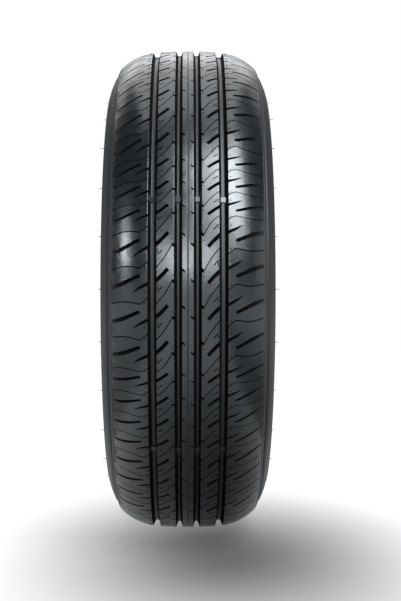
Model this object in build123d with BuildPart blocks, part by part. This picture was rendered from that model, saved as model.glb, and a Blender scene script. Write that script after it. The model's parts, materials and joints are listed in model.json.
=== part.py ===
"""Radial car tyre for a 15 inch rim, moulded in one piece.

The axle is the Y axis and the origin is the middle of the wheel, so the tyre stands on its tread
with +Z up. The tread's slots are drawn once, for the left half of a single pitch, and laid round
the tyre in runs of short, middle and long pitches, as in a tread mould. Millimetres and degrees.
"""

import os
from math import asin, cos, degrees, radians, sin, sqrt

from build123d import *

# Casing
OUTSIDE_DIAMETER = 635.0  # over the middle of the tread
SECTION_WIDTH = 203.0  # over the widest part of the sidewalls
WIDEST_SHARE = 0.479  # height of that part over the bead seat, as a share of the section height
SIDEWALL_THICKNESS = 7.5
UNDERTREAD = 8.0  # casing and belts under the groove floors

# Tread surface
CROWN_RADIUS = 450.0  # across the tread
CROWN_WIDTH = 86.0  # how much of the tread the crown radius covers
SHOULDER_INSET = 15.2  # from the widest part in to the tread edge
SHOULDER_DROP = 22.0  # from the crown down to the tread edge
BUTTRESS_HEIGHT = 10.0  # plain band under the tread edge
BUTTRESS_FLARE = 4.6  # how far that band leans out

# Beads, which sit on the seats of the rim
BEAD_SEAT_DIAMETER = 380.2
BEAD_SPAN = 152.4  # heel to heel, the rim's width
BEAD_WIDTH = 19.0  # heel to toe
BEAD_HEEL = 3.0  # chamfer
BEAD_TOE = 1.5  # chamfer
BEAD_FLANK = 16.0  # height of the bead's inner face
BEAD_FLANK_LEAN = 4.0
FLANGE_HEIGHT = 15.0  # flat that bears on the rim's flange
RIM_LINE_HEIGHT = 22.0  # foot of the sidewall, over the bead seat
RIM_LINE_FLARE = 7.0  # foot of the sidewall, out from the heel

# Grooves round the tread
GROOVE_DEPTH = 7.5
GROOVE_DRAFT = 2.0  # how far each wall leans out
INNER_GROOVE_PLACE = 11.1  # from the tread's middle
INNER_GROOVE_WIDTH = 8.6
OUTER_GROOVE_PLACE = 40.5
OUTER_GROOVE_WIDTH = 9.6

# Wear bars across the grooves, one row at the start of each run of pitches
WEAR_BAR_HEIGHT = 1.6
WEAR_BAR_LENGTH = 7.0

# Pitches, in the order they go round the tyre, and how many parts of the circle each kind takes
PITCH_RUNS = ("SSSSLLLLS", "SSLLMSSSMM", "LLMSSMLLLM", "SSSMMLSSSM", "SSLLMSSSMM", "LSSSMSLSMM")
PITCH_PARTS = {"S": 5, "M": 6, "L": 7}
FIRST_PITCH_ANGLE = -36.8

# Slots of the left half. Distances are from the tread's middle, and shares are parts of a pitch,
# up or down from its middle.
RIB_SLOT_WIDTH = 3.5
RIB_SLOT_DEPTH = 5.8
RIB_SLOT_END = 23.0
RIB_SLOT_MOUTH_SHARE = -0.30
RIB_SLOT_END_SHARE = 0.19
SHORT_SLOT_MOUTH_WIDTH = 4.2
SHORT_SLOT_TIP_WIDTH = 0.8
SHORT_SLOT_MOUTH_DEPTH = 5.5
SHORT_SLOT_TIP_DEPTH = 2.5
SHORT_SLOT_END = 61.5
SHORT_SLOT_MOUTH_SHARE = -0.20
SHORT_SLOT_END_SHARE = -0.49
LONG_SLOT_START_WIDTH = 2.8
LONG_SLOT_END_WIDTH = 4.6
LONG_SLOT_START_DEPTH = 6.0
LONG_SLOT_END_DEPTH = 1.6
LONG_SLOT_START = 53.5
LONG_SLOT_MARGIN = 1.0  # left between the slot's end and the tread edge
LONG_SLOT_START_SHARE = -0.03
LONG_SLOT_END_SHARE = -0.32

outer_radius = OUTSIDE_DIAMETER / 2
half_width = SECTION_WIDTH / 2
half_crown = CROWN_WIDTH / 2
seat_radius = BEAD_SEAT_DIAMETER / 2
widest_radius = seat_radius + WIDEST_SHARE * (outer_radius - seat_radius)
liner_radius = outer_radius - GROOVE_DEPTH - UNDERTREAD
heel = BEAD_SPAN / 2
toe = heel - BEAD_WIDTH
edge = half_width - SHOULDER_INSET
edge_radius = outer_radius - SHOULDER_DROP

# The shoulder is the arc that runs on from the crown and ends on the tread edge
crown_angle = asin(half_crown / CROWN_RADIUS)
crown_end = Vector(half_crown, outer_radius - CROWN_RADIUS * (1 - cos(crown_angle)))
shoulder_chord = Vector(edge, edge_radius) - crown_end
shoulder_inward = Vector(-sin(crown_angle), -cos(crown_angle))
shoulder_radius = shoulder_chord.length**2 / (2 * shoulder_chord.dot(shoulder_inward))
shoulder_centre = crown_end + shoulder_inward * shoulder_radius


def tread_radius(across):
    """Radius of the plain tread surface at a distance from the tread's middle."""
    distance = abs(across)
    if distance <= half_crown:
        return outer_radius - CROWN_RADIUS + sqrt(CROWN_RADIUS**2 - distance**2)
    return shoulder_centre.Y + sqrt(shoulder_radius**2 - (distance - shoulder_centre.X) ** 2)


def tread_point(across, depth, angle):
    """Point under the tread surface, with the angle taken upwards from +X."""
    radius = tread_radius(across) - depth
    return Vector(radius * cos(radians(angle)), across, radius * sin(radians(angle)))


def slot_cutter(start, end, start_width, end_width):
    """Bar that cuts one slot, with its floor on the line between two points under the tread."""
    along = (end - start).normalized()
    outward = Vector(start.X + end.X, 0, start.Z + end.Z)
    sideways = outward.cross(along).normalized()
    length = (end - start).length
    with BuildPart() as cutter:
        with BuildSketch(Plane(origin=start, x_dir=along, z_dir=along.cross(sideways))):
            with BuildLine():
                Polyline(
                    (0, -start_width / 2),
                    (length, -end_width / 2),
                    (length, end_width / 2),
                    (0, start_width / 2),
                    close=True,
                )
            make_face()
        extrude(amount=2 * GROOVE_DEPTH)
    return cutter.part


def pitch_cutters(pitch):
    """Slots of one pitch with its middle at +X: the left half's, and the same turned end for end."""
    rib_slot = slot_cutter(
        tread_point(-OUTER_GROOVE_PLACE, RIB_SLOT_DEPTH, RIB_SLOT_MOUTH_SHARE * pitch),
        tread_point(-RIB_SLOT_END, RIB_SLOT_DEPTH, RIB_SLOT_END_SHARE * pitch),
        RIB_SLOT_WIDTH,
        RIB_SLOT_WIDTH,
    )
    short_slot = slot_cutter(
        tread_point(-OUTER_GROOVE_PLACE, SHORT_SLOT_MOUTH_DEPTH, SHORT_SLOT_MOUTH_SHARE * pitch),
        tread_point(-SHORT_SLOT_END, SHORT_SLOT_TIP_DEPTH, SHORT_SLOT_END_SHARE * pitch),
        SHORT_SLOT_MOUTH_WIDTH,
        SHORT_SLOT_TIP_WIDTH,
    )
    long_slot = slot_cutter(
        tread_point(-LONG_SLOT_START, LONG_SLOT_START_DEPTH, LONG_SLOT_START_SHARE * pitch),
        tread_point(LONG_SLOT_MARGIN - edge, LONG_SLOT_END_DEPTH, LONG_SLOT_END_SHARE * pitch),
        LONG_SLOT_START_WIDTH,
        LONG_SLOT_END_WIDTH,
    )
    left_half = [rib_slot, short_slot, long_slot]
    return left_half + [cutter.rotate(Axis.X, 180) for cutter in left_half]


def grooves():
    """Middle, width and floor radius of each groove round the tread."""
    for side in (-1, 1):
        for place, width in (
            (side * INNER_GROOVE_PLACE, INNER_GROOVE_WIDTH),
            (side * OUTER_GROOVE_PLACE, OUTER_GROOVE_WIDTH),
        ):
            yield place, width, tread_radius(place) - GROOVE_DEPTH


def wear_bars():
    """Row of wear bars at +X, one across each groove floor, with its ends sunk in the groove walls."""
    with BuildPart() as row:
        for place, width, floor_radius in grooves():
            top = Plane.YZ.offset(floor_radius + WEAR_BAR_HEIGHT)
            with BuildSketch(top):
                with Locations((place, 0)):
                    Rectangle(width, WEAR_BAR_LENGTH)
            extrude(amount=-2 * WEAR_BAR_HEIGHT)
    return row.part


# Lay the pitches round the tyre
part_angle = 360 / sum(PITCH_PARTS[kind] for run in PITCH_RUNS for kind in run)
cutters = {kind: pitch_cutters(parts * part_angle) for kind, parts in PITCH_PARTS.items()}
bar_row = wear_bars()
bars = []
slots = []
angle = FIRST_PITCH_ANGLE
for run in PITCH_RUNS:
    bars.append(bar_row.rotate(Axis.Y, -angle))
    for kind in run:
        pitch = PITCH_PARTS[kind] * part_angle
        slots += [cutter.rotate(Axis.Y, -(angle + pitch / 2)) for cutter in cutters[kind]]
        angle += pitch

with BuildPart() as tyre:
    with BuildSketch(Plane.YZ):
        with BuildLine():
            # Outside, from the crown down to the foot of the sidewall
            crown = JernArc((0, outer_radius), (1, 0), CROWN_RADIUS, -degrees(crown_angle))
            shoulder = TangentArc(crown @ 1, (edge, edge_radius), tangent=crown % 1)
            buttress_foot = (edge + BUTTRESS_FLARE, edge_radius - BUTTRESS_HEIGHT)
            Line(shoulder @ 1, buttress_foot)
            widest = (half_width, widest_radius)
            TangentArc(widest, buttress_foot, tangent=(0, 1))
            rim_line = (heel + RIM_LINE_FLARE, seat_radius + RIM_LINE_HEIGHT)
            TangentArc(widest, rim_line, tangent=(0, -1))
            # Bead
            bead = Polyline(
                rim_line,
                (heel, seat_radius + FLANGE_HEIGHT),
                (heel, seat_radius + BEAD_HEEL),
                (heel - BEAD_HEEL, seat_radius),
                (toe + BEAD_TOE, seat_radius),
                (toe, seat_radius + BEAD_TOE),
                (toe + BEAD_FLANK_LEAN, seat_radius + BEAD_FLANK),
            )
            # Liner, from the bead back up to the crown
            liner_widest = (half_width - SIDEWALL_THICKNESS, widest_radius)
            TangentArc(liner_widest, bead @ 1, tangent=(0, -1))
            liner_shoulder = TangentArc(liner_widest, (half_crown, liner_radius), tangent=(0, 1))
            Line(liner_shoulder @ 1, (0, liner_radius))
            mirror(about=Plane.YZ)
        make_face()
        for place, width, floor_radius in grooves():
            with BuildLine():
                half_floor = width / 2 - GROOVE_DRAFT
                half_mouth = width / 2 + GROOVE_DRAFT
                Polyline(
                    (place - half_mouth, floor_radius + 2 * GROOVE_DEPTH),
                    (place - half_floor, floor_radius),
                    (place + half_floor, floor_radius),
                    (place + half_mouth, floor_radius + 2 * GROOVE_DEPTH),
                    close=True,
                )
            make_face(mode=Mode.SUBTRACT)
    revolve(axis=Axis.Y)
    add(bars)
    add(slots, mode=Mode.SUBTRACT, clean=False)

tyre.part.label = "tyre"

os.makedirs("parts", exist_ok=True)
export_step(tyre.part, "parts/tyre.step")
print(f"{len(slots)} slots in {sum(len(run) for run in PITCH_RUNS)} pitches")
print(f"shoulder radius {shoulder_radius:.1f} mm, volume {tyre.part.volume / 1e6:.2f} litres")
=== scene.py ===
# %% [markdown]
# # A radial car tyre, seen on its tread
#
# A tyre is pressed and cured in a steel mould. Ribs on the mould leave the grooves that run round the tread,
# bars leave the slots, and thin blades leave the sipes. This lesson works the same way: one flat pitch of
# tread is cut by bars and blades, laid round the tyre in pitches of three lengths, and bent onto the crown.
# The casing is then drawn off the tread's own edge, ring by ring, so the whole tyre is one closed skin.

import json
from itertools import accumulate
from math import asin, atan2, cos, pi, radians, sin, sqrt

import bmesh
import bpy
from mathutils import Matrix, Vector
from mathutils.geometry import interpolate_bezier


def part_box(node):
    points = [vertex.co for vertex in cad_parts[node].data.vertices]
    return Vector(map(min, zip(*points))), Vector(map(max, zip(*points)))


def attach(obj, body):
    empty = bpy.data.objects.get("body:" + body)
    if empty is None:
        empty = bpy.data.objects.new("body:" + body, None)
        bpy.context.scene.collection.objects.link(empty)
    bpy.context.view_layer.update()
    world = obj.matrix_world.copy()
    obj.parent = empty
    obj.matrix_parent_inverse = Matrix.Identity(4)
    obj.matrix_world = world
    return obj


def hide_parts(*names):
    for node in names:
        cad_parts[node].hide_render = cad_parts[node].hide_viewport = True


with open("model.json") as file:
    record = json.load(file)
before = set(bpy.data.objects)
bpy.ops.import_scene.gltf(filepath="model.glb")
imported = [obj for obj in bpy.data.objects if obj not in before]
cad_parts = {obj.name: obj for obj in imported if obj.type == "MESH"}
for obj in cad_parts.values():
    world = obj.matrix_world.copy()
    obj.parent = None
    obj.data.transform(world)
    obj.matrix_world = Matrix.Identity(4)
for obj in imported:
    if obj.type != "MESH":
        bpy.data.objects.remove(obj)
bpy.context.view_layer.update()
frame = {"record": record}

MM = 0.001  # pieces are drawn in millimetres and brought to metres when they are finished
low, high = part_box("tyre")
outer_radius = (high.z - low.z) / 2 / MM
half_width = (high.y - low.y) / 2 / MM
seat_radius = frame["record"]["mounts"][0]["dims"]["r_mm"]
print(f"tyre radius {outer_radius:.1f} mm, half width {half_width:.1f} mm, bead seat {seat_radius:.1f} mm")

# %% [markdown]
# ## Camera
#
# The photograph looks straight at the tread, at the height of the axle. How much the tread shrinks towards
# the top and the bottom gives the distance, and the tyre's place in the picture gives the lens shift.

# %% Place the camera
IMAGE_WIDTH, IMAGE_HEIGHT = 401, 601
AXLE_PIXEL = (188.0, 289.2)  # the middle of the tyre in the photograph
FOCAL_PIXELS = 1261.4
CAMERA_DISTANCE = 5.4  # from the axle, in tyre radii

camera_data = bpy.data.cameras.new("camera")
camera_data.lens = FOCAL_PIXELS / IMAGE_HEIGHT * camera_data.sensor_width
camera_data.shift_x = (IMAGE_WIDTH / 2 - AXLE_PIXEL[0]) / IMAGE_HEIGHT
camera_data.shift_y = (AXLE_PIXEL[1] - IMAGE_HEIGHT / 2) / IMAGE_HEIGHT
camera = bpy.data.objects.new("camera", camera_data)
camera.location = (CAMERA_DISTANCE * outer_radius * MM, 0, 0)
camera.rotation_euler = (pi / 2, 0, pi / 2)
bpy.context.scene.collection.objects.link(camera)
bpy.context.scene.camera = camera
print(f"lens {camera_data.lens:.1f} mm on a sensor {camera_data.sensor_width:.0f} mm high")

# %% [markdown]
# ## The curve across the tread
#
# Across its width the tread is a wide crown arc that runs on into a tighter shoulder arc on each side. A flat
# pitch measures distances along that curve, so two small functions go from the flat to the curve and back.

# %% Crown and shoulder
CROWN_RADIUS = 450
HALF_CROWN = 43
SHOULDER_INSET = 15.2  # from the widest part of the tyre in to the tread edge
SHOULDER_DROP = 22  # from the crown down to the tread edge

tread_edge = Vector((half_width - SHOULDER_INSET, outer_radius - SHOULDER_DROP))
crown_lean = asin(HALF_CROWN / CROWN_RADIUS)
crown_end = Vector((HALF_CROWN, outer_radius - CROWN_RADIUS * (1 - cos(crown_lean))))
inward = Vector((-sin(crown_lean), -cos(crown_lean)))
chord = tread_edge - crown_end
shoulder_radius = chord.length_squared / (2 * chord.dot(inward))
shoulder_centre = crown_end + shoulder_radius * inward
crown_arc = crown_lean * CROWN_RADIUS


def arc_to(across):
    """Distance along the tread's curve to a place across the tyre."""
    if across <= HALF_CROWN:
        return CROWN_RADIUS * asin(across / CROWN_RADIUS)
    lean = asin((across - shoulder_centre.x) / shoulder_radius)
    return crown_arc + (lean - crown_lean) * shoulder_radius


def tread_at(arc):
    """Place across the tyre, radius and outward lean of the tread at a distance along its curve."""
    side, arc = (-1, -arc) if arc < 0 else (1, arc)
    if arc <= crown_arc:
        lean = arc / CROWN_RADIUS
        place = Vector((CROWN_RADIUS * sin(lean), outer_radius - CROWN_RADIUS * (1 - cos(lean))))
    else:
        lean = crown_lean + (arc - crown_arc) / shoulder_radius
        place = shoulder_centre + shoulder_radius * Vector((sin(lean), cos(lean)))
    return side * place.x, place.y, side * lean


edge_arc = arc_to(tread_edge.x)
print(f"shoulder radius {shoulder_radius:.1f} mm, tread {2 * edge_arc:.1f} mm wide along its curve")

# %% [markdown]
# ## Pitches
#
# The pattern repeats in short, middle and long pitches, in an order that breaks up the tyre's hum. The flat
# pitch is drawn once at the mean length, and a list of border angles stretches it to each kind.

# %% Pitch borders round the tyre
PITCH_RUNS = ("SSSSLLLLS", "SSLLMSSSMM", "LLMSSMLLLM", "SSSMMLSSSM", "SSLLMSSSMM", "LSSSMSLSMM")
PITCH_PARTS = {"S": 5, "M": 6, "L": 7}  # lengths of the three kinds
FIRST_PITCH_ANGLE = -36.8  # up from the front of the tyre, in degrees

pitch_kinds = "".join(PITCH_RUNS)
pitch_count = len(pitch_kinds)
parts_round = list(accumulate((PITCH_PARTS[kind] for kind in pitch_kinds), initial=0))
PITCH = 2 * pi * outer_radius / pitch_count


def angle_at(distance):
    """Angle up from the front of the tyre at a distance along the row of flat pitches."""
    turned = distance / PITCH
    count = min(int(turned), pitch_count - 1)
    parts = parts_round[count] + (turned - count) * (parts_round[count + 1] - parts_round[count])
    return radians(FIRST_PITCH_ANGLE + 360 * parts / parts_round[-1])


print(f"{pitch_count} pitches, {PITCH:.1f} mm long on average")

# %% [markdown]
# ## The grooved slab
#
# A flat slab of rubber, one pitch long, carries the four grooves and the fine line down the middle rib. Its
# section is a chain of edges with the corners rounded by a vertex bevel, filled and drawn out along the
# pitch. It is a closed block, because a Boolean cut needs an inside and an outside. Only its upper skin is
# kept.

# %% Section of the grooves
SLAB_DEPTH = 14
GROOVE_DEPTH = 7.5
GROOVE_DRAFT = 2.8  # how far each wall leans out
INNER_GROOVE = (11, 8.8)  # place from the middle, width
OUTER_GROOVE = (40.3, 10)
CENTRE_LINE_WIDTH = 1.4
CENTRE_LINE_DEPTH = 0.6
CENTRE_LINE_DRAFT = 0.2
LIP_ROUND = 0.5  # bevels of the grooves' lips, of their floors and of the centre line
FLOOR_ROUND = 0.8
LINE_ROUND = 0.2

groove_shapes = [(0, CENTRE_LINE_WIDTH, CENTRE_LINE_DEPTH, CENTRE_LINE_DRAFT)]  # place, width, depth, draft
for place, width in (INNER_GROOVE, OUTER_GROOVE):
    for side in (-1, 1):
        groove_shapes.append((side * arc_to(place), width, GROOVE_DEPTH, GROOVE_DRAFT))


def moved_verts(made):
    """The new vertices that an extrusion or a copy gives back."""
    return [item for item in made["geom"] if isinstance(item, bmesh.types.BMVert)]


def grooved_slab():
    """Closed block of rubber, one pitch long, with the grooves in its top."""
    slab = bmesh.new()
    section = [(-edge_arc, 0)]
    for place, width, depth, draft in sorted(groove_shapes):
        floor = width / 2 - draft
        section += [(place - width / 2, 0), (place - floor, -depth)]
        section += [(place + floor, -depth), (place + width / 2, 0)]
    section.append((edge_arc, 0))
    chain = [slab.verts.new((arc, 0, lift)) for arc, lift in section]
    for pair in zip(chain, chain[1:]):
        slab.edges.new(pair)
    first, last = chain[0], chain[-1]
    floor_corners = [vert for vert in chain if vert.co.z == -GROOVE_DEPTH]
    line_corners = [vert for vert in chain if abs(vert.co.x) < CENTRE_LINE_WIDTH]
    lips = [vert for vert in chain[1:-1] if vert not in floor_corners + line_corners]
    for corners, offset in ((floor_corners, FLOOR_ROUND), (lips, LIP_ROUND), (line_corners, LINE_ROUND)):
        bmesh.ops.bevel(
            slab, geom=corners, offset=offset, segments=2, profile=0.5, affect="VERTICES", material=-1
        )
    foot = [slab.verts.new((end.co.x, 0, -SLAB_DEPTH)) for end in (first, last)]
    for pair in ((first, foot[0]), (foot[0], foot[1]), (foot[1], last)):
        slab.edges.new(pair)
    filled = bmesh.ops.edgeloop_fill(slab, edges=slab.edges[:])
    drawn = bmesh.ops.extrude_face_region(slab, geom=filled["faces"])
    bmesh.ops.translate(slab, vec=(0, PITCH, 0), verts=moved_verts(drawn))
    return slab


print(f"{len(groove_shapes)} grooves across the slab")

# %% [markdown]
# ## Mould bars for the slots
#
# A bar leaves a slot with a softened lip, steep walls and a rounded floor. Each starts as a flat outline on
# the tread, and three insets carry it down: the lip, the wall and the turn into the floor. The slots are
# given for the left half as places from the middle and shares of a pitch, and the right half is the same
# turned end for end.

# %% Helpers for an outline
CURVE_STEPS = 3  # points per span of a smoothed edge
CLEARANCE = 3  # how far a bar or blade stands out of the tread


def curve_through(points):
    """Smooth curve through a few (place, share) points."""
    points = [Vector(point).to_3d() for point in points]
    ahead = points[1:] + points[-1:]
    behind = points[:1] + points[:-1]
    reach = [(after - before) / 6 for after, before in zip(ahead, behind)]
    curve = points[:1]
    for count in range(len(points) - 1):
        start, end = points[count], points[count + 1]
        handles = start + reach[count], end - reach[count + 1]
        curve += interpolate_bezier(start, *handles, end, CURVE_STEPS)[1:]
    return curve


def on_slab(point):
    """Place on the flat pitch of a (place, share) point of the left half."""
    return Vector((-arc_to(point.x), (point.y + 0.5) * PITCH, 0))


# %% One mould bar
WALL_SHARE = 0.7  # of a slot's depth, from the tread down to where the floor starts to turn


def mould_bar(steel, upper, lower, depths, lip, draft, floor_turn):
    """Bar between an upper and a lower edge, with its depths at their first and last points."""
    outline = curve_through(upper) + curve_through(lower)[::-1]
    mouth = steel.faces.new([steel.verts.new(on_slab(point)) for point in outline])
    steel.normal_update()
    if mouth.normal.z > 0:
        mouth.normal_flip()
    raised = bmesh.ops.extrude_face_region(steel, geom=[mouth], use_keep_orig=True)
    bmesh.ops.translate(steel, vec=(0, 0, CLEARANCE), verts=moved_verts(raised))
    steel.normal_update()
    bmesh.ops.inset_region(steel, faces=[mouth], thickness=lip, depth=lip, use_even_offset=True)
    start, end = on_slab(outline[0]).x, on_slab(Vector(upper[-1])).x
    for inset, depth_share in ((draft, WALL_SHARE), (floor_turn, 1)):
        bmesh.ops.inset_region(steel, faces=[mouth], thickness=inset, depth=lip, use_even_offset=True)
        for vert in mouth.verts:
            along = (vert.co.x - start) / (end - start)
            vert.co.z = -depth_share * (depths[1] + (1 - along) ** 2 * (depths[0] - depths[1]))


# %% The bars of the left half
bars = bmesh.new()
mould_bar(  # curved slot in the second rib, open to the outer groove
    bars,
    upper=[(41.5, -0.168), (34.5, -0.023), (28.1, 0.129), (24.0, 0.248)],
    lower=[(41.5, -0.339), (34.5, -0.193), (28.1, -0.043), (20.5, 0.164)],
    depths=(6.2, 6.2),
    lip=0.22,
    draft=0.3,
    floor_turn=0.6,
)
mould_bar(  # short pointed slot in the shoulder, open to the outer groove
    bars,
    upper=[(42, -0.105), (48.8, -0.206), (55.2, -0.298), (61.5, -0.440)],
    lower=[(42, -0.243), (48.8, -0.320), (55.2, -0.390), (61.5, -0.472)],
    depths=(5.5, 2.0),
    lip=0.2,
    draft=0.05,
    floor_turn=0.08,
)
mould_bar(  # long slot that runs out at the tread edge
    bars,
    upper=[(53.4, 0.046), (56.8, 0.044), (63.2, -0.024), (69.5, -0.094), (76, -0.164), (85.3, -0.250)],
    lower=[(53.4, -0.046), (56.8, -0.078), (63.2, -0.157), (69.5, -0.237), (76, -0.307), (85.3, -0.374)],
    depths=(6.4, 0.9),
    lip=0.22,
    draft=0.15,
    floor_turn=0.25,
)
mould_bar(  # notch in the second rib, open to the inner groove
    bars,
    upper=[(14, -0.125), (18.4, -0.068)],
    lower=[(14, -0.240), (18.4, -0.168)],
    depths=(4.5, 3.5),
    lip=0.2,
    draft=0.15,
    floor_turn=0.3,
)
mould_bar(  # notch in the middle rib
    bars,
    upper=[(8.5, 0.252), (3.0, 0.146)],
    lower=[(8.5, 0.164), (3.0, 0.066)],
    depths=(4.5, 3.0),
    lip=0.2,
    draft=0.15,
    floor_turn=0.3,
)
print(f"{len(bars.faces)} faces in the bars of one half")

# %% [markdown]
# ## Blades for the sipes
#
# A sipe is a slit that a thin steel blade leaves. The blade's line is drawn out downwards as a ribbon and
# given the blade's thickness with solidify.

# %% The blades of the left half
BLADE_THICKNESS = 1.1


def mould_blade(steel, line, depth):
    """Blade that follows a smooth line through a few points."""
    chain = [steel.verts.new(on_slab(point) + Vector((0, 0, CLEARANCE))) for point in curve_through(line)]
    top = [steel.edges.new(pair) for pair in zip(chain, chain[1:])]
    drawn = bmesh.ops.extrude_edge_only(steel, edges=top)
    bmesh.ops.translate(steel, vec=(0, 0, -depth - CLEARANCE), verts=moved_verts(drawn))
    ribbon = [item for item in drawn["geom"] if isinstance(item, bmesh.types.BMFace)]
    bmesh.ops.solidify(steel, geom=ribbon, thickness=BLADE_THICKNESS)


blades = bmesh.new()
mould_blade(blades, line=[(37, -0.83), (30, -0.637), (25, -0.473), (20, -0.267), (17.8, -0.160)], depth=5)
mould_blade(blades, line=[(33.9, -0.447), (28, -0.297)], depth=3)
mould_blade(
    blades,
    line=[(43, -0.55), (46, -0.613), (52, -0.737), (55, -0.757), (65, -0.709), (75, -0.712), (85, -0.770)],
    depth=4,
)
print(f"{len(blades.faces)} faces in the blades of one half")

# %% [markdown]
# ## Wear bars
#
# Low blocks across the groove floors show when the tread is worn out. A row stands at the start of each run
# of pitches, half on the pitch before it and half on the pitch after it.

# %% Wear bars across the grooves
WEAR_BAR_HEIGHT = 1.6
WEAR_BAR_LENGTH = 7


def wear_bars(border):
    """Row of blocks in the grooves, on the border at the start or the end of the flat pitch."""
    blocks = bmesh.new()
    for place, width, depth, draft in groove_shapes[1:]:
        size = Vector((width - draft, WEAR_BAR_LENGTH, 2 * WEAR_BAR_HEIGHT))
        spot = Matrix.Translation((place, border, -depth)) @ Matrix.Diagonal(size.to_4d())
        bmesh.ops.create_cube(blocks, size=1, matrix=spot)
    return blocks


# %% [markdown]
# ## One pitch of tread
#
# The bars and blades are turned end for end for the right half and repeated one pitch before and after, so
# that what crosses a border meets its other half. Boolean modifiers make the cuts. Then the skin is sliced
# across and along, which gives it the points it needs to bend.


# %% Cut the slab
def whole_set(half):
    """Both halves of a set of bars or blades, over three pitches."""
    middle = Vector((0, PITCH / 2, 0))
    turned = bmesh.ops.duplicate(half, geom=half.verts[:] + half.edges[:] + half.faces[:])
    bmesh.ops.rotate(half, cent=middle, matrix=Matrix.Rotation(pi, 3, "Z"), verts=moved_verts(turned))
    one_pitch = half.verts[:] + half.edges[:] + half.faces[:]
    for step in (-PITCH, PITCH):
        repeated = bmesh.ops.duplicate(half, geom=one_pitch)
        bmesh.ops.translate(half, vec=(0, step, 0), verts=moved_verts(repeated))
    return half


def workshop_object(name, shape):
    """Object for a Boolean cut, which is thrown away afterwards."""
    bmesh.ops.recalc_face_normals(shape, faces=shape.faces)
    mesh = bpy.data.meshes.new(name)
    shape.to_mesh(mesh)
    shape.free()
    made = bpy.data.objects.new(name, mesh)
    bpy.context.scene.collection.objects.link(made)
    return made


def cut_pitch(tools):
    """Mesh of the grooved slab after each (object, operation) in turn."""
    slab = workshop_object("slab", grooved_slab())
    for tool, operation in tools:
        cut = slab.modifiers.new(tool.name, "BOOLEAN")
        cut.object = tool
        cut.operation = operation
        cut.solver = "EXACT"
    worked = slab.evaluated_get(bpy.context.evaluated_depsgraph_get())
    mesh = bpy.data.meshes.new_from_object(worked)
    bpy.data.objects.remove(slab)
    return mesh


# %% Keep and slice the upper skin
SLICES_ALONG = 3
SLICES_ACROSS = (26, 51, 57, 63, 69, 75, 81)  # places from the middle
TOUCH = 0.002  # points nearer than this are one


def slice_skin(skin, point, outward, trim=False):
    """Cut along a plane, which also takes off what lies outside it where that is to be trimmed."""
    everything = skin.verts[:] + skin.edges[:] + skin.faces[:]
    bmesh.ops.bisect_plane(
        skin, geom=everything, dist=TOUCH, plane_co=point, plane_no=outward, clear_outer=trim
    )


def is_cut_side(face):
    """Whether a face is the slab's underside or one of its four sides."""
    spots = [vert.co for vert in face.verts]
    underneath = all(spot.z < -SLAB_DEPTH + TOUCH for spot in spots)
    end = all(spot.y < TOUCH for spot in spots) or all(spot.y > PITCH - TOUCH for spot in spots)
    side = all(abs(spot.x) > edge_arc - TOUCH for spot in spots)
    return underneath or end or side


def upper_skin(mesh):
    """Mesh of a cut pitch with only its upper skin, sliced for the bend."""
    skin = bmesh.new()
    skin.from_mesh(mesh)
    for point, outward in (((0, 0, 0), (0, -1, 0)), ((0, PITCH, 0), (0, 1, 0))):
        slice_skin(skin, point, outward, trim=True)
    off = [face for face in skin.faces if is_cut_side(face)]
    bmesh.ops.delete(skin, geom=off, context="FACES")
    for count in range(1, SLICES_ALONG):
        slice_skin(skin, (0, PITCH * count / SLICES_ALONG, 0), (0, 1, 0))
    for place in SLICES_ACROSS:
        for side in (-1, 1):
            slice_skin(skin, (side * arc_to(place), 0, 0), (1, 0, 0))
    bmesh.ops.remove_doubles(skin, verts=skin.verts, dist=TOUCH)
    bmesh.ops.dissolve_degenerate(skin, edges=skin.edges, dist=TOUCH)
    skin.to_mesh(mesh)
    skin.free()
    return mesh


# %% Make the pitches
bar_tool = workshop_object("bars", whole_set(bars))
blade_tool = workshop_object("blades", whole_set(blades))
pattern = [(bar_tool, "DIFFERENCE"), (blade_tool, "DIFFERENCE")]
first_row = workshop_object("wear_bars_first", wear_bars(0))
last_row = workshop_object("wear_bars_last", wear_bars(PITCH))
pitches = {
    "first": upper_skin(cut_pitch([(first_row, "UNION")] + pattern)),
    "plain": upper_skin(cut_pitch(pattern)),
    "last": upper_skin(cut_pitch([(last_row, "UNION")] + pattern)),
}
for tool in (bar_tool, blade_tool, first_row, last_row):
    bpy.data.objects.remove(tool)
for name, mesh in pitches.items():
    print(f"{name} pitch: {len(mesh.vertices)} points, {len(mesh.polygons)} faces")

# %% [markdown]
# ## Laying the pitches round the tyre
#
# The pitches go end to end in one long strip. Each point of the strip gets a mark for how dull its rubber
# is and how much shade is painted on it deep in the slots and grooves, which the material reads later. It is
# then moved to its angle, its place across the tyre and its depth under the tread's curve. The borders meet,
# so merging doubles closes the ring.

# %% The strip of pitches
tread = bmesh.new()
row = [skin for run in PITCH_RUNS for skin in ["first"] + ["plain"] * (len(run) - 2) + ["last"]]
for count, skin in enumerate(row):
    made_before = len(tread.verts)
    tread.from_mesh(pitches[skin])
    tread.verts.ensure_lookup_table()
    bmesh.ops.translate(tread, vec=(0, count * PITCH, 0), verts=tread.verts[made_before:])
print(f"strip of {len(row)} pitches, {len(tread.verts)} points")

# %% Mark the dull rubber and the painted shade
GROOVE_DULLNESS_AND_SHADE = 0.4  # of the groove floors, whose lower shine is partly painted shade for the cover of their walls
LIP_DEPTH = 0.16  # down to which the lips shine like the ribs
DULL_AND_SHADE_DEPTH = 0.1  # how much deeper the rubber is fully dull and painted black as shade
RUN_OUT_PLACE = 66  # from the middle, outside which the slots run out
SHALLOW_DEPTH = 1  # takes the place of that depth there and in the centre line, where light gets in and less shade is painted


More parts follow.
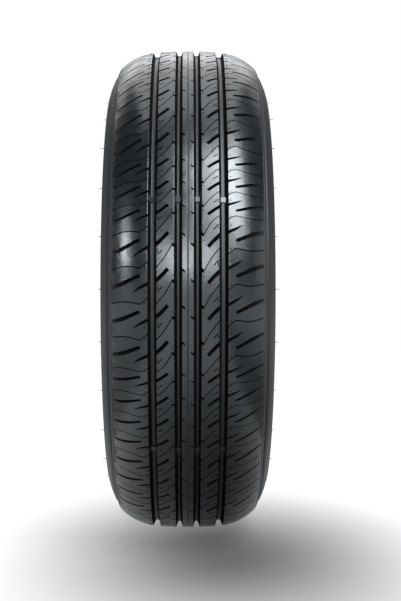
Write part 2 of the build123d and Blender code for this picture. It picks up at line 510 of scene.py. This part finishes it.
def dullness_and_shade(spot):
    """Mark for the finish and the painted shade at a point of the flat pitch, from 0 on a bright rib to 1 in
    a slot painted black.
    """
    on_wear_bar = abs(spot.z + GROOVE_DEPTH - WEAR_BAR_HEIGHT) < TOUCH
    if on_wear_bar:
        return 0
    if any(abs(spot.x - place) < width / 2 - draft for place, width, depth, draft in groove_shapes[1:]):
        return GROOVE_DULLNESS_AND_SHADE
    shallow = abs(spot.x) < CENTRE_LINE_WIDTH or abs(spot.x) > arc_to(RUN_OUT_PLACE)
    return min(1, max(0, -spot.z - LIP_DEPTH) / (SHALLOW_DEPTH if shallow else DULL_AND_SHADE_DEPTH))


dullness_and_shade_mark = tread.verts.layers.float.new("dullness_and_shade")
for vert in tread.verts:
    vert[dullness_and_shade_mark] = dullness_and_shade(vert.co)
# The fully dull points lie deep in the slots, sipes and groove walls, where shade is painted black.
print(f"{sum(vert[dullness_and_shade_mark] == 1 for vert in tread.verts)} points of fully dull rubber")

# %% Bend the tread
SEAM = 0.02  # points of two pitches or rings that are nearer than this are one


def round_tyre(across, radius, angle):
    """Point of the tyre from its place across, its radius and its angle up from the front."""
    return Vector((radius * cos(angle), across, radius * sin(angle)))


def bent(spot):
    """Point of the tyre from a point of the flat strip."""
    across, radius, lean = tread_at(spot.x)
    return round_tyre(across + spot.z * sin(lean), radius + spot.z * cos(lean), angle_at(spot.y))


for vert in tread.verts:
    vert.co = bent(vert.co)
bmesh.ops.remove_doubles(tread, verts=tread.verts, dist=SEAM)
edges_open = [edge for edge in tread.edges if edge.is_boundary]
triangles = sum(len(face.verts) - 2 for face in tread.faces)
print(f"tread ring: {triangles} triangles, {len(edges_open)} open edges")

# %% [markdown]
# ## Casing
#
# Below the tread edge the tyre is a body of revolution: a plain band with moulded lines, the bulging
# sidewall, the bead that grips the rim, and the smooth liner inside. The section could be spun, but its steps
# would not meet the tread's uneven pitches. So the open edge of the tread is extruded along the section, ring
# by ring.

# %% Section of one half
WIDEST_SHARE = 0.479  # height of the widest part over the bead seat, as a share of the section height
BUTTRESS_HEIGHT, BUTTRESS_FLARE = 10, 4.6
RIM_LINE_HEIGHT, RIM_LINE_FLARE = 22, 7
HEEL = 76.2  # half of the rim's width
BEAD_WIDTH, BEAD_FLANK, BEAD_FLANK_LEAN = 19, 16, 4
FLANGE_HEIGHT = 15
BEAD_HEEL, BEAD_TOE = 3, 1.5
SIDEWALL_THICKNESS = 7.5
UNDERTREAD = 8

widest_radius = seat_radius + WIDEST_SHARE * (outer_radius - seat_radius)
buttress_foot = tread_edge + Vector((BUTTRESS_FLARE, -BUTTRESS_HEIGHT))
rim_line = Vector((HEEL + RIM_LINE_FLARE, seat_radius + RIM_LINE_HEIGHT))
liner_radius = outer_radius - GROOVE_DEPTH - UNDERTREAD
toe = HEEL - BEAD_WIDTH
flank_top = Vector((toe + BEAD_FLANK_LEAN, seat_radius + BEAD_FLANK))


def bulge(widest, end, radius):
    """Place across, at a radius, of the arc that stands upright at the widest point and runs to the end."""
    inset, rise = widest.x - end.x, end.y - widest.y
    arc_radius = (inset**2 + rise**2) / (2 * inset)
    return widest.x - arc_radius + sqrt(arc_radius**2 - (radius - widest.y) ** 2)


def spread(start, end, count):
    """Evenly spaced values from start to end."""
    return [start + (end - start) * step / count for step in range(count + 1)]


print(f"widest {widest_radius:.1f} mm from the axle, liner {liner_radius:.1f} mm")

# %% Moulded lines on the sidewall
RING_LINES = (  # radius, width, height over the sidewall
    (292.0, 3.0, 0.5),
    (286.0, 2.2, -1.3),
    (282.4, 1.0, 0.4),
    (262.0, 1.0, 0.4),
    (232.0, 1.2, 0.5),
    (219.0, 1.8, 0.9),
)
LINE_SLOPE = 0.25  # over which a line rises to its height
WALL_RINGS = 13  # of the sidewall between its moulded lines


def wall_place(radius):
    """Place across of the outer wall at a radius, before its moulded lines."""
    widest = Vector((half_width, widest_radius))
    if radius > buttress_foot.y:
        share = (radius - buttress_foot.y) / (tread_edge.y - buttress_foot.y)
        return buttress_foot.x + share * (tread_edge.x - buttress_foot.x)
    if radius > widest_radius:
        return bulge(widest, buttress_foot, radius)
    return bulge(widest, rim_line, radius)


def outer_wall():
    """Section points from the tread edge down to the foot of the sidewall."""
    points = [(radius, 0) for radius in spread(tread_edge.y, rim_line.y, WALL_RINGS)[1:]]
    for radius, width, height in RING_LINES:
        points = [point for point in points if abs(point[0] - radius) > width / 2 + LINE_SLOPE]
        for side in (1, -1):
            points += [(radius + side * (width / 2 + LINE_SLOPE), 0), (radius + side * width / 2, height)]
    points.sort(reverse=True)
    return [Vector((wall_place(radius) + height, radius)) for radius, height in points]


# %% Bead and liner
LINER_RINGS = (5, 6)  # under and over the widest part


def bead():
    """Section points from the flange down to the heel, and in to the toe."""
    corners = [
        (HEEL, seat_radius + FLANGE_HEIGHT),
        (HEEL, seat_radius + BEAD_HEEL),
        (HEEL - BEAD_HEEL, seat_radius),
        (toe + BEAD_TOE, seat_radius),
        (toe, seat_radius + BEAD_TOE),
    ]
    return [Vector(corner) for corner in corners]


def liner():
    """Section points from the top of the bead's flank up to the middle of the crown."""
    widest = Vector((half_width - SIDEWALL_THICKNESS, widest_radius))
    crown = Vector((HALF_CROWN, liner_radius))
    lower = spread(flank_top.y, widest.y, LINER_RINGS[0])
    upper = spread(widest.y, crown.y, LINER_RINGS[1])[1:]
    points = [Vector((bulge(widest, flank_top, radius), radius)) for radius in lower]
    points += [Vector((bulge(widest, crown, radius), radius)) for radius in upper]
    return points + [Vector((0, liner_radius))]


half_section = outer_wall() + bead() + liner()
far_half = [Vector((-point.x, point.y)) for point in half_section[-2::-1]]
far_half.append(Vector((-tread_edge.x, tread_edge.y)))
print(f"{len(half_section)} rings on each half of the casing")

# %% Draw the casing off the tread
SIDEWALL_DULLNESS = 0.52

rim = [edge for edge in tread.edges if edge.is_boundary and all(vert.co.y > 0 for vert in edge.verts)]
for point in half_section + far_half:
    drawn = bmesh.ops.extrude_edge_only(tread, edges=rim)
    rim = [item for item in drawn["geom"] if isinstance(item, bmesh.types.BMEdge)]
    for vert in moved_verts(drawn):
        vert.co = round_tyre(point.x, point.y, atan2(vert.co.z, vert.co.x))
        vert[dullness_and_shade_mark] = SIDEWALL_DULLNESS
bmesh.ops.remove_doubles(tread, verts=tread.verts, dist=SEAM)
bmesh.ops.triangulate(tread, faces=tread.faces)
bmesh.ops.recalc_face_normals(tread, faces=tread.faces)
edges_open = [edge for edge in tread.edges if not edge.is_manifold]
print(f"tyre skin: {len(tread.faces)} triangles, {len(edges_open)} open edges")

# %% Finish the tyre's mesh
SHARP_ANGLE = radians(35)
FACE_WEIGHT = 100  # the large faces decide the shading


def finished_piece(name, shape):
    """Object of a piece drawn in millimetres, smooth but for its sharp edges, riding on the tyre's body."""
    bmesh.ops.scale(shape, vec=(MM, MM, MM), verts=shape.verts)
    for face in shape.faces:
        face.smooth = True
    for edge in shape.edges:
        edge.smooth = edge.is_manifold and edge.calc_face_angle(0) < SHARP_ANGLE
    mesh = bpy.data.meshes.new(name)
    shape.to_mesh(mesh)
    shape.free()
    piece = bpy.data.objects.new(name, mesh)
    bpy.context.scene.collection.objects.link(piece)
    even_shading = piece.modifiers.new("even_shading", "WEIGHTED_NORMAL")
    even_shading.weight = FACE_WEIGHT
    even_shading.keep_sharp = True
    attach(piece, "root")
    return piece


moulded_tyre = finished_piece("moulded_tyre", tread)
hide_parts("tyre")
print(f"moulded tyre: {len(moulded_tyre.data.polygons)} triangles")

# %% [markdown]
# ## Rubber
#
# Cured tread rubber is black from its carbon filler, with a faint cool grey bloom. The mould's surface
# leaves it satin: broad soft highlights with a fine grain. One rubber serves the whole tyre, and the marks on
# its points tell where it is dull and where shade is painted deep in the slots, sipes and grooves.


# %% Helpers for a material
def linear(hex_colour):
    """Linear colour of an sRGB hex value."""
    parts = [int(hex_colour[place : place + 2], 16) / 255 for place in (1, 3, 5)]
    return [part / 12.92 if part <= 0.04045 else ((part + 0.055) / 1.055) ** 2.4 for part in parts] + [1]


def add_node(tree, kind, settings=(), inputs=(), links=()):
    """Node with its settings, its input values and its links from (node, output) pairs."""
    node = tree.nodes.new(kind)
    for name, value in dict(settings).items():
        setattr(node, name, value)
    for name, value in dict(inputs).items():
        node.inputs[name].default_value = value
    for name, (source, output) in dict(links).items():
        tree.links.new(source.outputs[output], node.inputs[name])
    return node


# %% Patches in the rubber
# The mould's own grain is near 0.3 mm, too fine to show, so the grain is a little coarser.
PATCH_SIZES = {"grain": 1.1, "flow": 14, "bloom": 60}

rubber = bpy.data.materials.new("moulded_rubber")
rubber.use_nodes = True
nodes = rubber.node_tree
shader = nodes.nodes["Principled BSDF"]
shader.inputs["Specular Tint"].default_value = linear("#f1f9ff")  # the bloom cools the shine
rubber_place = add_node(nodes, "ShaderNodeTexCoord")
noises = {}
for name, size in PATCH_SIZES.items():
    noises[name] = add_node(
        nodes,
        "ShaderNodeTexNoise",
        inputs={"Scale": 1 / (size * MM), "Detail": 3, "Roughness": 0.6},
        links={"Vector": (rubber_place, "Object")},
    )
print(f"patches in the rubber: {PATCH_SIZES} mm")

# %% Colour
# The bloom shifts the black of the ribs. Rubber at the middle of the mark is paler: the sidewalls, the groove
# floors, and the slot lips, where the pale line is a painted highlight. The deep rubber of the slots, sipes
# and groove walls is darker, which is painted shade.
FACTOR, FIRST, SECOND, MIXED = 0, 6, 7, 2  # sockets of a Mix node set to colours
PALE_FROM, PALE_MOST, PALE_TO = 0.3, 0.5, 0.62  # the middle of the mark

# The mark gives the dullness of the finish and, deep in the slots, sipes and groove walls, painted shade.
dull_and_shaded = add_node(nodes, "ShaderNodeAttribute", {"attribute_name": "dullness_and_shade"})
rib_colour = add_node(
    nodes,
    "ShaderNodeMix",
    {"data_type": "RGBA"},
    {FIRST: linear("#070a0c"), SECOND: linear("#0e1316")},
    {FACTOR: (noises["bloom"], "Fac")},
)
# The middle of the mark is paler; along the slot lips this pale line is a painted highlight.
pale = add_node(nodes, "ShaderNodeValToRGB", links={"Fac": (dull_and_shaded, "Fac")})
for element, position in zip(pale.color_ramp.elements, (PALE_FROM, PALE_TO)):
    element.position = position
    element.color = (0, 0, 0, 1)
pale.color_ramp.elements.new(PALE_MOST).color = (1, 1, 1, 1)
pale_colour = add_node(
    nodes,
    "ShaderNodeMix",
    {"data_type": "RGBA"},
    {SECOND: linear("#1a1d20")},
    {FACTOR: (pale, "Color"), FIRST: (rib_colour, MIXED)},
)
# Painted shade: the deep rubber is darkened towards black.
deep_colour = add_node(
    nodes,
    "ShaderNodeMix",
    {"data_type": "RGBA"},
    {SECOND: linear("#020202")},
    {FACTOR: (dull_and_shaded, "Fac"), FIRST: (pale_colour, MIXED)},
)
nodes.links.new(deep_colour.outputs[MIXED], shader.inputs["Base Color"])
print(f"palest where the dullness is {PALE_MOST}")

# %% Shine
NOISE_RANGE = (0.3, 0.7)  # where nearly all values of a noise lie
RIB_ROUGHNESS = (0.25, 0.31)  # from patch to patch
DEEP_ROUGHNESS = 0.8
# The deep rubber's low shine is painted shade, which darkens the slots, sipes and groove walls.
RIB_SHINE, DEEP_SHINE = 0.9, 0.1

patchy = add_node(
    nodes,
    "ShaderNodeMapRange",
    inputs={
        "From Min": NOISE_RANGE[0],
        "From Max": NOISE_RANGE[1],
        "To Min": RIB_ROUGHNESS[0],
        "To Max": RIB_ROUGHNESS[1],
    },
    links={"Value": (noises["flow"], "Fac")},
)
roughness = add_node(
    nodes,
    "ShaderNodeMapRange",
    inputs={"To Max": DEEP_ROUGHNESS},
    links={"Value": (dull_and_shaded, "Fac"), "To Min": (patchy, "Result")},
)
shine = add_node(
    nodes,
    "ShaderNodeMapRange",
    inputs={"To Min": RIB_SHINE, "To Max": DEEP_SHINE},
    links={"Value": (dull_and_shaded, "Fac")},
)
nodes.links.new(roughness.outputs["Result"], shader.inputs["Roughness"])
nodes.links.new(shine.outputs["Result"], shader.inputs["Specular IOR Level"])
print(f"roughness {RIB_ROUGHNESS[0]} on the ribs to {DEEP_ROUGHNESS} in the slots")

# %% Grain
WAVE_HEIGHT = 0.03
GRAIN_HEIGHT = 0.03

waves = add_node(
    nodes,
    "ShaderNodeBump",
    inputs={"Strength": 1, "Distance": WAVE_HEIGHT * MM},
    links={"Height": (noises["flow"], "Fac")},
)
surface = add_node(
    nodes,
    "ShaderNodeBump",
    inputs={"Strength": 1, "Distance": GRAIN_HEIGHT * MM},
    links={"Height": (noises["grain"], "Fac"), "Normal": (waves, "Normal")},
)
nodes.links.new(surface.outputs["Normal"], shader.inputs["Normal"])
moulded_tyre.data.materials.append(rubber)
print(f"rubber with {len(nodes.nodes)} nodes")

# %% [markdown]
# ## Vent hairs and stubs
#
# Air leaves the mould through small holes, and the rubber that follows it cures as thin hairs that stand out
# of the sidewall. Each is a slim cone with a few sides, leaning a little, and a ring of them goes round each
# wall. On the ribs the hairs are trimmed to stubs, which are set on the flat strip and bent round the tyre
# like it.

# %% Hairs round both walls
HAIR_COUNT = 26
HAIR_RADIUS = 256  # of the ring that they stand on
HAIR_LENGTH = 4.5
HAIR_THICKNESS = 0.9
HAIR_ROOT = 0.5  # how far each is let into the wall
HAIR_SIDES = 6
HAIR_UNEVENNESS = 0.25  # of their lengths, as a share of the mean
HAIR_LEAN = 0.25  # at most, in radians

hairs = bmesh.new()
for side in (-1, 1):
    for count in range(HAIR_COUNT):
        length = HAIR_LENGTH * (1 + HAIR_UNEVENNESS * sin(5 * count + side))
        made = bmesh.ops.create_cone(
            hairs,
            cap_ends=True,
            segments=HAIR_SIDES,
            radius1=HAIR_THICKNESS / 2,
            radius2=HAIR_THICKNESS / 4,
            depth=length,
        )
        bmesh.ops.translate(hairs, vec=(0, 0, length / 2 - HAIR_ROOT), verts=made["verts"])
        angle = 2 * pi * count / HAIR_COUNT
        spot = round_tyre(side * wall_place(HAIR_RADIUS), HAIR_RADIUS, angle)
        lean = Matrix.Rotation(HAIR_LEAN * sin(3 * count), 4, "Z") @ Matrix.Rotation(-side * pi / 2, 4, "X")
        turned = Matrix.Translation(spot) @ Matrix.Rotation(-angle, 4, "Y") @ lean
        bmesh.ops.transform(hairs, matrix=turned, verts=made["verts"])
vent_hairs = finished_piece("vent_hairs", hairs)
vent_hairs.data.materials.append(rubber)
print(f"{2 * HAIR_COUNT} vent hairs")

# %% Stubs on the ribs
STUB_SPOTS = ((17.6, 0.02), (34, -0.33), (48, -0.42), (48, 0.25))  # places and shares on the left half
STUB_WIDTH = 1.5
STUB_HEIGHT = 0.4
STUB_ROOT = 0.3  # how far each is let into the rib
STUB_DULLNESS = 1  # trimmed rubber has lost the mould's shine

stubs = bmesh.new()
trimmed_mark = stubs.verts.layers.float.new("dullness_and_shade")
for count in range(pitch_count):
    for stub_spot in STUB_SPOTS:
        spot = on_slab(Vector(stub_spot))
        for arc, along in ((spot.x, spot.y), (-spot.x, PITCH - spot.y)):
            stand = Matrix.Translation((arc, count * PITCH + along, (STUB_HEIGHT - STUB_ROOT) / 2))
            bmesh.ops.create_cone(
                stubs,
                cap_ends=True,
                segments=HAIR_SIDES,
                radius1=STUB_WIDTH / 2,
                radius2=STUB_WIDTH / 2,
                depth=STUB_HEIGHT + STUB_ROOT,
                matrix=stand,
            )
for vert in stubs.verts:
    vert[trimmed_mark] = STUB_DULLNESS
    vert.co = bent(vert.co)
vent_stubs = finished_piece("vent_stubs", stubs)
vent_stubs.data.materials.append(rubber)
print(f"{2 * pitch_count * len(STUB_SPOTS)} vent stubs")

# %% [markdown]
# ## Floor and backdrop
#
# The tyre stands on a pale floor, with a white backdrop some way behind it. The floor turns to the backdrop's
# white away from the tyre, so the two run into each other. Close in front of the tyre a soft shade is painted
# on it, which the lower tread mirrors. The white is for the rays of the camera and of mirroring surfaces
# only, so it throws no light on the tyre.

# %% A sheet of the stage
PAPER_ROUGHNESS = 0.9


def stage_sheet(name, place, colour):
    """Nodes of a flat sheet beside the tyre, and the one that is 1 for the rays that see its white."""
    sheet_shape = bmesh.new()
    bmesh.ops.create_grid(sheet_shape, x_segments=1, y_segments=1, size=0.5, matrix=place)
    mesh = bpy.data.meshes.new(name)
    sheet_shape.to_mesh(mesh)
    sheet_shape.free()
    sheet = bpy.data.objects.new(name, mesh)
    bpy.context.scene.collection.objects.link(sheet)
    material = bpy.data.materials.new(name)
    material.use_nodes = True
    material.cycles.emission_sampling = "NONE"  # the white is seen, and lights nothing
    mesh.materials.append(material)
    sheet_nodes = material.node_tree
    paper = sheet_nodes.nodes["Principled BSDF"]
    paper.inputs["Base Color"].default_value = linear(colour)
    paper.inputs["Roughness"].default_value = PAPER_ROUGHNESS
    paper.inputs["Specular IOR Level"].default_value = 0
    paper.inputs["Emission Color"].default_value = linear("#ffffff")
    ray = add_node(sheet_nodes, "ShaderNodeLightPath")
    mirrored = add_node(
        sheet_nodes,
        "ShaderNodeMath",
        {"operation": "MAXIMUM"},
        links={0: (ray, "Is Glossy Ray"), 1: (ray, "Is Transmission Ray")},
    )
    seen = add_node(
        sheet_nodes,
        "ShaderNodeMath",
        {"operation": "MAXIMUM"},
        links={0: (ray, "Is Camera Ray"), 1: (mirrored, "Value")},
    )
    return sheet_nodes, seen


# %% Floor
FLOOR_SIZE = 30
SHADE_PLACE = (0.22, 0.05)  # middle of the shade painted in front of the tyre
SHADE_REACH = (0.68, 0.37)  # how far it runs towards the camera and to the sides

level = Matrix.Translation((0, 0, low.z)) @ Matrix.Diagonal((FLOOR_SIZE, FLOOR_SIZE, 1, 1))
floor, floor_seen = stage_sheet("floor", level, "#5c5c5c")
# The shade is painted: the white glow fades out over an ellipse in front of the tyre, where the floor's grey
# shows.
floor_place = add_node(floor, "ShaderNodeTexCoord")
stretched = add_node(
    floor,
    "ShaderNodeMapping",
    {"vector_type": "TEXTURE"},
    {"Location": (*SHADE_PLACE, low.z), "Scale": (*SHADE_REACH, 1)},
    {"Vector": (floor_place, "Object")},
)
away = add_node(floor, "ShaderNodeVectorMath", {"operation": "LENGTH"}, links={0: (stretched, "Vector")})
whiter = add_node(
    floor, "ShaderNodeMapRange", {"interpolation_type": "SMOOTHSTEP"}, links={"Value": (away, "Value")}
)
glow = add_node(
    floor,
    "ShaderNodeMath",
    {"operation": "MULTIPLY"},
    links={0: (whiter, "Result"), 1: (floor_seen, "Value")},
)
floor.links.new(glow.outputs["Value"], floor.nodes["Principled BSDF"].inputs["Emission Strength"])
print(f"floor {FLOOR_SIZE} m square, its shade {2 * SHADE_REACH[0]:.2f} x {2 * SHADE_REACH[1]:.2f} m")

# %% Backdrop
BACKDROP_DISTANCE = 5
BACKDROP_WIDTH, BACKDROP_HEIGHT = 3.4, 6

upright = Matrix.Translation((-BACKDROP_DISTANCE, 0, low.z + BACKDROP_HEIGHT / 2))
upright = upright @ Matrix.Rotation(pi / 2, 4, "Y")
upright = upright @ Matrix.Diagonal((BACKDROP_HEIGHT, BACKDROP_WIDTH, 1, 1))
backdrop, backdrop_seen = stage_sheet("backdrop", upright, "#000000")
backdrop_paper = backdrop.nodes["Principled BSDF"]
backdrop.links.new(backdrop_seen.outputs["Value"], backdrop_paper.inputs["Emission Strength"])
print(f"backdrop {BACKDROP_WIDTH} x {BACKDROP_HEIGHT} m, {BACKDROP_DISTANCE} m behind the axle")

# %% [markdown]
# ## Cards: painted reflections
#
# A photographer tones down what a shiny object mirrors with cards beside the line of sight. Here two grey
# sheets stand by the shoulders of the tyre and fade to the floor's white at their tops. Only mirroring
# surfaces see them, so they stay out of the picture and throw no shadow: they are painted reflections, which
# darken what the lower shoulders of the tread mirror.

# %% Cards beside the tyre, as painted reflections
CARD_LENGTH, CARD_HEIGHT = 1.2, 0.3
CARD_PLACE = (0.5, 0.25)  # middle of the right card
CARD_TURN = radians(7)  # towards the line of sight
CARD_FADE = 0.3  # share of the height from where a card runs up to the floor's white

# Each card is a painted reflection: a grey sheet, seen only by mirroring surfaces, that darkens what a
# shoulder mirrors.
for name, side, foot_white in (("right_painted_reflection_card", 1, 0.2), ("left_painted_reflection_card", -1, 0.5)):
    stand = Matrix.Translation((CARD_PLACE[0], side * CARD_PLACE[1], low.z + CARD_HEIGHT / 2))
    stand = stand @ Matrix.Rotation(-side * CARD_TURN, 4, "Z") @ Matrix.Rotation(pi / 2, 4, "X")
    painted_reflection_card, card_seen = stage_sheet(name, stand @ Matrix.Diagonal((CARD_LENGTH, CARD_HEIGHT, 1, 1)), "#000000")
    sheet = bpy.data.objects[name]
    sheet.visible_camera = False
    sheet.visible_diffuse = False
    sheet.visible_shadow = False
    card_place = add_node(painted_reflection_card, "ShaderNodeTexCoord")
    height = add_node(painted_reflection_card, "ShaderNodeSeparateXYZ", links={"Vector": (card_place, "Object")})
    fade = add_node(
        painted_reflection_card,
        "ShaderNodeMapRange",
        {"interpolation_type": "SMOOTHSTEP"},
        {"From Min": low.z + CARD_FADE * CARD_HEIGHT, "From Max": low.z + CARD_HEIGHT, "To Min": foot_white},
        {"Value": (height, "Z")},
    )
    card_glow = add_node(
        painted_reflection_card,
        "ShaderNodeMath",
        {"operation": "MULTIPLY"},
        links={0: (fade, "Result"), 1: (card_seen, "Value")},
    )
    painted_reflection_card.links.new(card_glow.outputs["Value"], painted_reflection_card.nodes["Principled BSDF"].inputs["Emission Strength"])
    print(f"{name}: {foot_white} of white at its foot")

# %% [markdown]
# ## Light
#
# The room is dim. Soft boxes in front give the bands of light on the tread, one above and behind lights its
# top, and weak ones behind and at the sides draw the edges of the sidewalls. They stay out of the picture
# from every side.

# %% Room
ROOM_LIGHT = 0.06

world = bpy.data.worlds.new("studio")
bpy.context.scene.world = world
world.use_nodes = True
background = world.node_tree.nodes["Background"]
background.inputs["Color"].default_value = linear("#ffffff")
background.inputs["Strength"].default_value = ROOM_LIGHT
print(f"room light {ROOM_LIGHT}")


# %% Soft boxes
def soft_box(name, azimuth, elevation, distance, size, radiance):
    """Rectangular lamp that looks at the middle of the tyre, its azimuth counted to the camera's right."""
    around, up = radians(azimuth), radians(elevation)
    toward = Vector((cos(up) * cos(around), cos(up) * sin(around), sin(up)))
    lamp_data = bpy.data.lights.new(name, "AREA")
    lamp_data.shape = "RECTANGLE"
    lamp_data.size, lamp_data.size_y = size
    lamp_data.energy = pi * radiance * size[0] * size[1]
    lamp = bpy.data.objects.new(name, lamp_data)
    lamp.rotation_euler = toward.to_track_quat("Z", "Y").to_euler()
    lamp.location = toward * distance
    lamp.visible_camera = False
    bpy.context.scene.collection.objects.link(lamp)
    print(f"{name}: {lamp_data.energy:.0f} W")


soft_box("right_box", azimuth=36, elevation=42, distance=2.6, size=(1.1, 1.9), radiance=12)
soft_box("upper_box", azimuth=16, elevation=42, distance=2.6, size=(0.8, 1.8), radiance=8)
soft_box("front_box", azimuth=0, elevation=13, distance=2.6, size=(1.0, 0.45), radiance=13)
soft_box("left_box", azimuth=-56, elevation=15, distance=2.5, size=(0.5, 0.5), radiance=18)
soft_box("back_box", azimuth=180, elevation=66, distance=2.6, size=(2.2, 3.4), radiance=1.7)
soft_box("right_rim_box", azimuth=142, elevation=38, distance=2.6, size=(1.1, 1.0), radiance=0.6)
soft_box("left_rim_box", azimuth=-140, elevation=38, distance=2.6, size=(1.1, 1.0), radiance=1.4)
soft_box("right_side_box", azimuth=92, elevation=10, distance=2.2, size=(2.2, 0.7), radiance=0.9)
soft_box("left_side_box", azimuth=-112, elevation=10, distance=2.2, size=(1.3, 0.7), radiance=1.0)

# %% Colour view
bpy.context.scene.view_settings.view_transform = "Standard"
